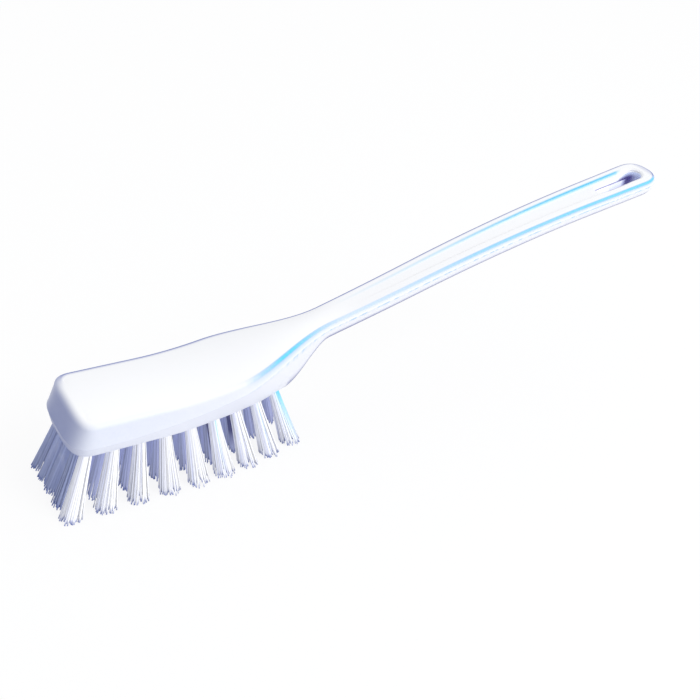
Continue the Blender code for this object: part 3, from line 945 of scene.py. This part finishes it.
# %% A small class for writing materials
class Wire:
    """A value in a material, on which arithmetic adds Math nodes."""

    def __init__(self, tree, socket=None):
        self.tree = tree
        self.socket = socket

    def join(self, target, value):
        """Link a wire to a socket, or set the socket to a plain value."""
        if isinstance(value, Wire):
            self.tree.links.new(value.socket, target)
        else:
            target.default_value = value

    def node(self, kind, settings=None, values=None, output=0):
        """Add a node: settings first, then its values and links, and give one output."""
        made = self.tree.nodes.new(kind)
        for name, setting in (settings or {}).items():
            setattr(made, name, setting)
        for name, value in (values or {}).items():
            self.join(made.inputs[name], value)
        return Wire(self.tree, made.outputs[output])

    def maths(self, operation, *terms):
        return self.node("ShaderNodeMath", {"operation": operation}, dict(enumerate(terms)))

    def clamped(self):
        return self.maths("MINIMUM", self.maths("MAXIMUM", self, 0.0), 1.0)

    def mix(self, first, second, factor):
        """Blend two colours, each a wire or three numbers."""
        first, second = (
            colour if isinstance(colour, Wire) else (*colour, 1.0) for colour in (first, second)
        )
        values = {0: factor, 6: first, 7: second}
        return self.node("ShaderNodeMix", {"data_type": "RGBA"}, values, 2)

    def noise(self, place, scale, detail=2.0):
        values = {"Vector": place, "Scale": scale, "Detail": detail}
        return self.node("ShaderNodeTexNoise", {}, values)

    def stored(self, name, output=2):
        """What was stored on the piece's points when it was made: a number, or a vector."""
        return self.node("ShaderNodeAttribute", {"attribute_name": name}, {}, output)

    def vectors(self, operation, *terms):
        values = dict(enumerate(terms))
        return self.node("ShaderNodeVectorMath", {"operation": operation}, values)

    def place(self, scale=(1.0, 1.0, 1.0)):
        """The place on the piece, in metres, stretched by a scale along each axis."""
        return self.vectors("MULTIPLY", self.node("ShaderNodeTexCoord", {}, {}, 3), scale)

    def __add__(self, other):
        return self.maths("ADD", self, other)

    def __radd__(self, other):
        return self.maths("ADD", other, self)

    def __sub__(self, other):
        return self.maths("SUBTRACT", self, other)

    def __rsub__(self, other):
        return self.maths("SUBTRACT", other, self)

    def __mul__(self, other):
        return self.maths("MULTIPLY", self, other)

    def __rmul__(self, other):
        return self.maths("MULTIPLY", other, self)

    def __pow__(self, other):
        return self.maths("POWER", self, other)

    def __rpow__(self, other):
        return self.maths("POWER", other, self)


def new_material(name):
    """An empty material with one shader, ready for its values."""
    made = bpy.data.materials.new(name)
    made.use_nodes = True
    shader = made.node_tree.nodes["Principled BSDF"]
    return made, Wire(made.node_tree), shader


print("a wire can be added, taken away, multiplied and raised to a power")

# %% [markdown]
# The plastic is a white polypropylene with a soft gloss. It starts as a white with faint
# clouds in it, and each mark that was stored on the moulding then lays its painted light and
# shade over that: the painted grey shade of the walls, the outline's painted blue shade, the
# painted light in the near edge, which turns from deep blue to pale cyan as it gets
# stronger, and the painted lines of light at the seam and of shade at the foot. The colours
# are picked a little stronger than they look, because the white light of the studio washes
# them out.

# %% Colours and painted light and shade of the white plastic
CLEAR_WHITE, CLOUDY_WHITE = (0.96, 0.962, 0.967), (0.942, 0.946, 0.96)
WALL_SHADE_GREY, FRONT_SHADE_GREY = (0.79, 0.825, 0.91), (0.21, 0.245, 0.44)
OUTLINE_SHADE_BLUE, FOOT_SHADE_BLUE = (0.1, 0.15, 0.46), (0.1, 0.12, 0.36)
EDGE_LIGHT_BLUE, EDGE_LIGHT_CYAN = (0.06, 0.4, 0.93), (0.105, 0.66, 0.97)
RIM_HIGHLIGHT_CYAN, SEAM_HIGHLIGHT_BLUE = (0.1, 0.58, 0.88), (0.36, 0.62, 0.84)
BLOTCH_SCALE, GRAIN_SCALE = 55.0, 900.0
DASH_SCALE, DASH_STRETCH, DASH_START, DASH_CONTRAST = 420.0, (1.0, 0.05, 0.05), 0.42, 6.0
plastic, w, shader = new_material("white_moulded_plastic")
blotches = w.noise(w.place(), BLOTCH_SCALE, 3.0)
grain = w.noise(w.place(), GRAIN_SCALE, 2.0)
dashes = w.noise(w.place(DASH_STRETCH), DASH_SCALE, 1.0)
dashes = ((dashes - DASH_START) * DASH_CONTRAST).clamped()
white = w.mix(CLEAR_WHITE, CLOUDY_WHITE, blotches)
# painted shade: grey on the walls
wall_shaded = w.mix(white, WALL_SHADE_GREY, w.stored("wall") * (0.65 + 0.35 * grain))
# painted shade: darker grey on the front
shaded = w.mix(wall_shaded, FRONT_SHADE_GREY, w.stored("front_shade") * (0.85 + 0.2 * blotches))
# painted shade: a thin dark blue outline along the far edge
outline_shaded = w.mix(shaded, OUTLINE_SHADE_BLUE, w.stored("far_edge_shade") * 0.92)
# painted light: the near edge's highlight, from deep blue to pale cyan as it grows
edge_glow = (w.stored("painted_edge_light") * (0.85 + 0.3 * grain)).clamped()
glowing = w.mix(outline_shaded, w.mix(EDGE_LIGHT_BLUE, EDGE_LIGHT_CYAN, edge_glow ** 2.0), edge_glow)
# painted highlight: cyan along the channel's far rim
lined = w.mix(glowing, RIM_HIGHLIGHT_CYAN, (w.stored("rim_highlight") * (0.8 + 0.4 * grain)).clamped())
# painted highlight: a dashed blue line along the seam's ridge
seam_highlighted = w.mix(lined, SEAM_HIGHLIGHT_BLUE, w.stored("seam") * (0.15 + 0.75 * dashes))
# painted shade: dark blue at the foot and on the handle's underside
foot_shaded = w.mix(seam_highlighted, FOOT_SHADE_BLUE, w.stored("foot") * 0.97)
print("nodes so far:", len(plastic.node_tree.nodes))

# %% [markdown]
# The slot's painted shade and painted glow come last, over the rest. Its long side gives off
# a little light of its own, which stands for daylight that comes through the thin plastic
# around it: true scattering would need far more samples for the same look. The gloss varies
# slightly, and a very fine relief, a fiftieth of a millimetre deep, breaks up the highlights
# as the skin of moulded plastic does.

# %% The slot's painted shade and glow, the gloss and the relief
SHADE_LINE_VIOLET, HOLLOW_BLUE, DEEP_VIOLET = (0.2, 0.16, 0.38), (0.64, 0.72, 0.95), (0.07, 0.05, 0.26)
BLACK = (0.0, 0.0, 0.0)
SLOT_GLOW, PLASTIC_GLOSS = 0.8, 0.35
RELIEF_SCALE, RELIEF_DEPTH, RELIEF_STRENGTH = 2600.0, 0.02 * MM, 0.35
# painted shade: the line in the slot's wall, and the shade gathered in its end
marked = w.mix(foot_shaded, SHADE_LINE_VIOLET, w.stored("slot_shade_line") * 0.8)
hollow = w.mix(marked, HOLLOW_BLUE, w.stored("slot_shade") * 0.95)
deepened = w.mix(hollow, DEEP_VIOLET, w.stored("slot_deep") * 0.95)
w.join(shader.inputs["Base Color"], deepened)
# painted light: the slot's long side glows
w.join(shader.inputs["Emission Color"], w.mix(BLACK, marked, w.stored("slot_side_glow")))
shader.inputs["Emission Strength"].default_value = SLOT_GLOW
w.join(shader.inputs["Roughness"], 0.27 + 0.1 * blotches + 0.06 * grain)
relief = w.noise(w.place(), RELIEF_SCALE, 1.0) * 0.5 + grain
bump = {"Height": relief, "Distance": RELIEF_DEPTH, "Strength": RELIEF_STRENGTH}
w.join(shader.inputs["Normal"], w.node("ShaderNodeBump", {}, bump))
shader.inputs["Specular IOR Level"].default_value = PLASTIC_GLOSS
body.data.materials.clear()
body.data.materials.append(plastic)
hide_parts("brush_body")
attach(body, "root")
print("nodes in the plastic:", len(plastic.node_tree.nodes))

# %% [markdown]
# A tuft is a bundle of stiff nylon filaments, folded in half over a wire and driven into
# its hole, so it comes out as two close legs that fan toward the tips. Each filament here
# is a thin four-sided rod along a bent line: it starts in the hole, follows the hole's
# direction, then leans out to its own tip. The tips are trimmed, but not quite level. Hair
# particles would be quicker to set up, but their strands have no mesh to hand over.

# %% Lines of the filaments
FILAMENTS = 80
FILAMENT_STEPS = 4
BUNDLE_RADIUS = 2.0 * MM
BUNDLE_DISORDER = 0.12
GOLDEN_TURN = pi * (3.0 - 5.0**0.5)
TUFT_DROP = 26.0 * MM
TIP_SPREAD = 1.9
LEG_APART = 0.45 * MM
STRAY_IN_MM = 0.22
START_DEPTH = 3.0 * MM
BEND_DEPTH_IN_MM = 7.0
BEND_SPREAD = 1.12
RAGGED_TIPS = 1.3 * MM
RAGGED_POWER = 2.5


def bundle_places(generator):
    """Places across a bundle, evenly packed, with a little disorder."""
    places = []
    for number in range(FILAMENTS):
        radius = BUNDLE_RADIUS * ((number + 0.5) / FILAMENTS) ** 0.5
        angle = number * GOLDEN_TURN + generator.normal(0.0, BUNDLE_DISORDER)
        places.append(Vector((radius * cos(angle), radius * sin(angle), 0.0)))
    return places


def filament_line(root, direction, lean, across, generator):
    """Points down the middle of one filament, from inside its hole to its tip."""
    leg = Vector((LEG_APART if across.x > 0.0 else -LEG_APART, 0.0, 0.0))
    stray = Vector((*generator.normal(0.0, STRAY_IN_MM, 2), 0.0)) * MM
    end = root + lean * TUFT_DROP + across * TIP_SPREAD + leg + stray
    short = RAGGED_TIPS * generator.random() ** RAGGED_POWER
    start = root + across - direction * START_DEPTH
    bend = root + across * BEND_SPREAD + direction * BEND_DEPTH_IN_MM * MM
    end = end + (bend - end).normalized() * short
    line = []
    for step in range(FILAMENT_STEPS + 1):
        share = step / FILAMENT_STEPS
        line.append((1 - share) ** 2 * start + 2 * share * (1 - share) * bend + share**2 * end)
    return line


print("filaments in a tuft:", FILAMENTS, "points along each:", FILAMENT_STEPS + 1)

# %% [markdown]
# Each filament also stores a few numbers for its material: a tone of its own, how deep it
# stands among the others, how far it is turned from the light, and whether it catches blue
# light from the handle or lies in one of the dark slits between two tufts. They are worked
# out from the filament's place in its tuft and the tuft's place in the brush.

# %% What each filament stores
FILAMENT_MARKS = ("down", "tone", "buried", "flank", "cool", "slit")
BURY_RATE = 1.9
COOL_COLUMNS = (6, 8)
SLIT_PLACES = {5: 0.65, 6: 0.2, 7: -0.1, 8: 0.6}
SLIT_REACH = 0.6
SLIT_SHARPNESS = 1.5
SIDEWAYS = (0.79, -0.61)
LAST_FLANK_SIDE, LAST_FLANK_START, LAST_FLANK_RATE = 0.4, 0.35, 1.3
STREAK_PLACE, STREAK_REACH, STREAK_COOLNESS = -0.05, 0.13, 0.5
LAST_COLUMN_INSIDE = 0.3
OUTERMOST = 0.05
FLANK_SHARE = 0.35
FIRST_FLANK_RATE, FIRST_FLANK_OUTER, FIRST_FLANK_INNER = 0.9, -0.45, 0.9


def coolness(column, outward):
    """How much blue light an outermost filament catches on its side toward the handle."""
    if column == len(COLUMNS) and outward.y < LAST_FLANK_SIDE:
        return smooth((outward.x + LAST_FLANK_START) * LAST_FLANK_RATE)
    near_streak = abs(outward.x - STREAK_PLACE) < STREAK_REACH and outward.y < 0.0
    return STREAK_COOLNESS if column in COOL_COLUMNS and near_streak else 0.0


def slit_share(column, row, outward):
    """How much a filament of the second row shows as a dark slit between two near tufts."""
    if row != 2 or column not in SLIT_PLACES:
        return 0.0
    aside = SIDEWAYS[0] * outward.x + SIDEWAYS[1] * outward.y - SLIT_PLACES[column]
    return smooth(SLIT_SHARPNESS * (1.0 - abs(aside) / SLIT_REACH))


def filament_values(column, row, x, y, outward, generator):
    """A filament's own tone, and how far it is buried, turned from the light or cool."""
    buried = min(BURY_RATE * (1.0 - min(abs(y) / outer_row(x), 1.0)), 1.0)
    if column == len(COLUMNS) and y > 0.0 > outward.y - LAST_COLUMN_INSIDE:
        buried = 1.0
    outermost = y < 0.0 and buried < OUTERMOST
    flank = FLANK_SHARE * max(-outward.x, 0.0)
    if column == 1:
        start = FIRST_FLANK_OUTER if outermost else FIRST_FLANK_INNER
        flank = smooth(start - FIRST_FLANK_RATE * outward.x)
        buried *= 1.0 - flank
    cool = coolness(column, outward) if outermost else 0.0
    return generator.random(), buried, flank, cool, slit_share(column, row, outward)


print("numbers stored on each filament:", len(FILAMENT_MARKS))

# %% [markdown]
# A filament becomes a rod: a small ring of points stands square to its line at every step,
# neighbouring rings are joined, and both ends are closed. Four sides are enough at this
# thinness, because the material's own shading makes them look round.

# %% A filament as a thin rod
FILAMENT_RADIUS = 0.25 * MM
FILAMENT_SIDES = 4


def add_filament(bm, layers, line, values, outward):
    """A thin rod along a line, with its tone and its place in the brush stored on it."""
    rings = []
    for step, point in enumerate(line):
        ahead = line[min(step + 1, len(line) - 1)] - line[max(step - 1, 0)]
        turn = ahead.to_track_quat("Z", "Y")
        ring = []
        for side in range(FILAMENT_SIDES):
            angle = 2 * pi * side / FILAMENT_SIDES
            spoke = Vector((cos(angle), sin(angle), 0.0)) * FILAMENT_RADIUS
            vert = bm.verts.new(point + turn @ spoke)
            for layer, value in zip(layers, (step / FILAMENT_STEPS, *values)):
                vert[layer] = value
            vert[layers[-1]] = outward
            ring.append(vert)
        rings.append(ring)
    for upper, lower in zip(rings, rings[1:]):
        for a in range(FILAMENT_SIDES):
            b = (a + 1) % FILAMENT_SIDES
            bm.faces.new((upper[a], upper[b], lower[b], lower[a]))
    bm.faces.new(rings[0])
    bm.faces.new(rings[-1][::-1])


print("faces in one filament:", FILAMENT_SIDES * FILAMENT_STEPS + 2)

# %% [markdown]
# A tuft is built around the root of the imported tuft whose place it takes. Its own seed makes
# its disorder, so no two tufts are alike and every run gives the same ones. A filament that
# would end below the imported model's floor is lifted to it, more and more toward its tip.

# %% Build the tufts
FLOOR_GAP = 0.1 * MM
FIRST_SEED = 40
TUFT_SHARP_ANGLE = radians(95.0)


def lifted(line):
    """A filament's line, raised toward its tip until it clears the floor."""
    lift = max(FLOOR_GAP - min(point.z for point in line), 0.0)
    return [point + Vector((0.0, 0.0, lift * step / FILAMENT_STEPS))
            for step, point in enumerate(line)]


def tuft(column, row, x, y, seed):
    """One tuft of filaments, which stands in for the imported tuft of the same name."""
    generator = np.random.default_rng(seed)
    bm = bmesh.new()
    layers = [bm.verts.layers.float.new(mark) for mark in FILAMENT_MARKS]
    layers.append(bm.verts.layers.float_vector.new("outward"))
    root, direction = in_frame(x, y, 0.0), hole_direction(x, y)
    lean, splay = tuft_tilt(x, y)
    drop = Vector((lean, splay, -1.0))
    for across in bundle_places(generator):
        line = lifted(filament_line(root, direction, drop, across, generator))
        outward = across / BUNDLE_RADIUS
        values = filament_values(column, row, x, y, outward, generator)
        add_filament(bm, layers, line, values, outward)
    made = finished(bm, f"bristles_{column}_{row}")
    made.data.shade_smooth()
    made.data.set_sharp_from_angle(angle=TUFT_SHARP_ANGLE)
    return made


tufts = [(f"{place[0]}_{place[1]}", tuft(*place, FIRST_SEED + number))
         for number, place in enumerate(roots)]
print("tufts:", len(tufts), "faces in all:", sum(len(made.data.polygons) for _, made in tufts))

# %% [markdown]
# The nylon is white, and each filament is a slightly different white. Deep between the rows
# little light arrives, and what does is violet, so the inner rows are painted darker toward
# their roots and the narrow slits between two tufts are painted nearly navy. The first
# column's side, turned from the light, is painted grey. The cut tips get a painted dark blue
# shade.

# %% Colours of the white bristle
BRIGHT_NYLON, STREAKED_NYLON = (0.965, 0.967, 0.98), (0.66, 0.7, 0.93)
BURIED_VIOLET, SLIT_NAVY = (0.42, 0.46, 0.71), (0.03, 0.025, 0.13)
FLANK_GREY, HANDLE_CYAN, TIP_SHADE_BLUE = (0.33, 0.38, 0.6), (0.16, 0.66, 0.96), (0.07, 0.12, 0.4)
STREAK_SCALE, STREAK_STRETCH, STREAK_START, STREAK_CONTRAST = 700.0, (1.0, 1.0, 0.12), 0.62, 2.6
SLIT_CONTRAST, TIPS_START, TIPS_CONTRAST = 4.0, 0.95, 22.0
bristle, w, shader = new_material("white_nylon_bristle")
down, tone, buried, flank, cool, slit = (w.stored(mark) for mark in FILAMENT_MARKS)
along = w.noise(w.place(STREAK_STRETCH), STREAK_SCALE, 2.0)
streak = ((tone - STREAK_START) * STREAK_CONTRAST).clamped() * (0.35 + 0.7 * along)
pale = w.mix(BRIGHT_NYLON, STREAKED_NYLON, streak)
deep = w.mix(pale, BURIED_VIOLET, (buried * (1.08 - 0.2 * down)).clamped())
slitted = w.mix(deep, SLIT_NAVY, ((slit - 1.1 * down) * SLIT_CONTRAST).clamped())
turned = w.mix(slitted, FLANK_GREY, (flank * (0.8 + 0.4 * along)).clamped())
cooled = w.mix(turned, HANDLE_CYAN, (cool * (1.2 - 1.2 * down)).clamped())
# painted shade: dark blue at the filaments' tips
at_tip = ((down - TIPS_START) * TIPS_CONTRAST).clamped() * (0.6 + 0.4 * tone)
tip_shaded = w.mix(cooled, TIP_SHADE_BLUE, at_tip)
w.join(shader.inputs["Base Color"], tip_shaded)
print("nodes so far:", len(bristle.node_tree.nodes))

# %% [markdown]
# Light passes on from filament to filament, so a tuft is lit nearly as one soft body. Two
# things stand for that. Each filament gives off a little of its own colour, and the shading
# follows the direction outward from the tuft's middle, with only a share of the filament's
# own roundness. A volume around the tuft would be truer, but slow and full of noise.

# %% Light in the white bristle
OWN_ROUNDNESS = 0.35
BRISTLE_RELIEF, BRISTLE_RELIEF_STRENGTH = 0.04 * MM, 0.4
BRISTLE_GLOW, BRISTLE_GLOSS = 0.36, 0.3
w.join(shader.inputs["Emission Color"], w.mix(tip_shaded, BLACK, flank * 0.45))
shader.inputs["Emission Strength"].default_value = BRISTLE_GLOW
w.join(shader.inputs["Roughness"], 0.45 + 0.2 * along)
own = w.node("ShaderNodeNewGeometry", {}, {}, 1)
soft = w.vectors("MULTIPLY_ADD", own, (OWN_ROUNDNESS,) * 3, w.stored("outward", 1))
bump = {"Height": along, "Distance": BRISTLE_RELIEF, "Strength": BRISTLE_RELIEF_STRENGTH,
        "Normal": w.vectors("NORMALIZE", soft)}
w.join(shader.inputs["Normal"], w.node("ShaderNodeBump", {}, bump))
shader.inputs["Specular IOR Level"].default_value = BRISTLE_GLOSS
for name, made in tufts:
    made.data.materials.append(bristle)
    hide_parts(f"tuft_{name}")
    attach(made, "root")
print("nodes in the bristle:", len(bristle.node_tree.nodes))

# %% [markdown]
# The photograph has a plain white ground, so the floor glows white to the camera and to
# reflections, and a small share of plain matt surface in it keeps the brush's shadow. To
# every other ray the floor is only a matt, pale lavender surface, so its glow lights
# nothing, and the underside and the bristles pick up a cool tint from it.

# %% Floor
FLOOR_HALF = 5.0
GLOW_SHARE = 0.86
FLOOR_LAVENDER, FLOOR_WHITE = (0.7, 0.72, 0.82), (0.96, 0.96, 0.96)
CAMERA_RAY, GLOSSY_RAY, THROUGH_RAY = 0, 3, 6
ground, w, shader = new_material("pale_floor")
rays = [w.node("ShaderNodeLightPath", {}, {}, kind)
        for kind in (CAMERA_RAY, GLOSSY_RAY, THROUGH_RAY)]
seen = w.maths("MAXIMUM", rays[0], w.maths("MAXIMUM", rays[1], rays[2]))
w.join(shader.inputs["Base Color"], w.mix(FLOOR_LAVENDER, FLOOR_WHITE, seen))
shader.inputs["Roughness"].default_value = 0.9
shader.inputs["Specular IOR Level"].default_value = 0.0
glow = w.node("ShaderNodeEmission", {}, {"Color": (1.0, 1.0, 1.0, 1.0), "Strength": 1.0})
matt = Wire(w.tree, shader.outputs[0])
surface = w.node("ShaderNodeMixShader", {}, {0: seen * GLOW_SHARE, 1: matt, 2: glow})
w.join(w.tree.nodes["Material Output"].inputs["Surface"], surface)
bm = bmesh.new()
corners = [(-1, -1), (1, -1), (1, 1), (-1, 1)]
bm.faces.new([bm.verts.new((x * FLOOR_HALF, y * FLOOR_HALF, 0.0)) for x, y in corners])
floor = finished(bm, "floor")
floor.data.materials.append(ground)
print("floor at height", floor.location.z)

# %% [markdown]
# The light is a plain bright studio: a strong, nearly white surround lights the brush from
# all sides, a soft lamp high on the near side gives the top its gloss, and a wider, cooler
# and weaker one stands lower beside it. The surround leaves almost no shading, so the shade
# of the front and the walls is painted into the plastic's colours, as said above.

# %% Light
SURROUND_COLOUR = (0.955, 0.965, 0.99, 1.0)
SURROUND_STRENGTH = 0.88
world = bpy.data.worlds.new("studio_surround")
world.use_nodes = True
surround = world.node_tree.nodes["Background"]
surround.inputs["Color"].default_value = SURROUND_COLOUR
surround.inputs["Strength"].default_value = SURROUND_STRENGTH
bpy.context.scene.world = world


def soft_lamp(name, toward, distance, size, power, colour):
    """A square lamp in a direction from the brush, turned to face it."""
    lamp = bpy.data.lights.new(name, "AREA")
    lamp.shape = "SQUARE"
    lamp.size = size
    lamp.energy = power
    lamp.color = colour
    made = bpy.data.objects.new(name, lamp)
    bpy.context.scene.collection.objects.link(made)
    made.location = Vector(toward).normalized() * distance
    made.rotation_euler = Vector(toward).to_track_quat("Z", "Y").to_euler()
    return made


key = soft_lamp("key_lamp", (0.42, -0.62, 0.75), 1.6, 0.8, 7.0, (1.0, 0.99, 0.97))
fill = soft_lamp("fill_lamp", (0.2, -1.0, 0.25), 1.8, 1.2, 3.0, (0.95, 0.97, 1.0))
print("lamps:", key.name, fill.name)

# %% [markdown]
# The camera stands above the front of the head and looks along the brush, rolled a little,
# so the handle runs to the frame's upper right. Its place was worked out from where the
# photograph shows the ends, the slot and the tips. The frame is square, and the lens is
# given by its length in frame widths.

# %% Camera
LENS_SHARE = 1000.0 / 700.0
SENSOR = 36.0
AZIMUTH, HEIGHT_ANGLE, ROLL = radians(-37.7), radians(34.1), radians(9.9)
STAND_ACROSS, STAND_UP, STAND_BACK = 100.06 * MM, 28.97 * MM, 359.04 * MM
FRONT_TO_AIM = 5.7 * MM
back = Vector((sin(AZIMUTH) * cos(HEIGHT_ANGLE), -cos(AZIMUTH) * cos(HEIGHT_ANGLE),
               sin(HEIGHT_ANGLE)))
level = Vector((cos(AZIMUTH), sin(AZIMUTH), 0.0))
upright = back.cross(level)
across_view = level * cos(ROLL) + upright * sin(ROLL)
up_view = upright * cos(ROLL) - level * sin(ROLL)
camera_data = bpy.data.cameras.new("camera")
camera_data.sensor_width = SENSOR
camera_data.lens = SENSOR * LENS_SHARE
camera_data.clip_start = 0.01
camera = bpy.data.objects.new("camera", camera_data)
bpy.context.scene.collection.objects.link(camera)
turn = Matrix((across_view, up_view, back)).transposed().to_4x4()
stand = in_frame(FRONT_TO_AIM, 0.0, 0.0)
stand += across_view * STAND_ACROSS + up_view * STAND_UP + back * STAND_BACK
camera.matrix_world = Matrix.Translation(stand) @ turn
bpy.context.scene.camera = camera
print("camera at", [round(value, 3) for value in stand])

# %% [markdown]
# The last step sets the Standard view transform.

# %% View transform
bpy.context.scene.view_settings.view_transform = "Standard"
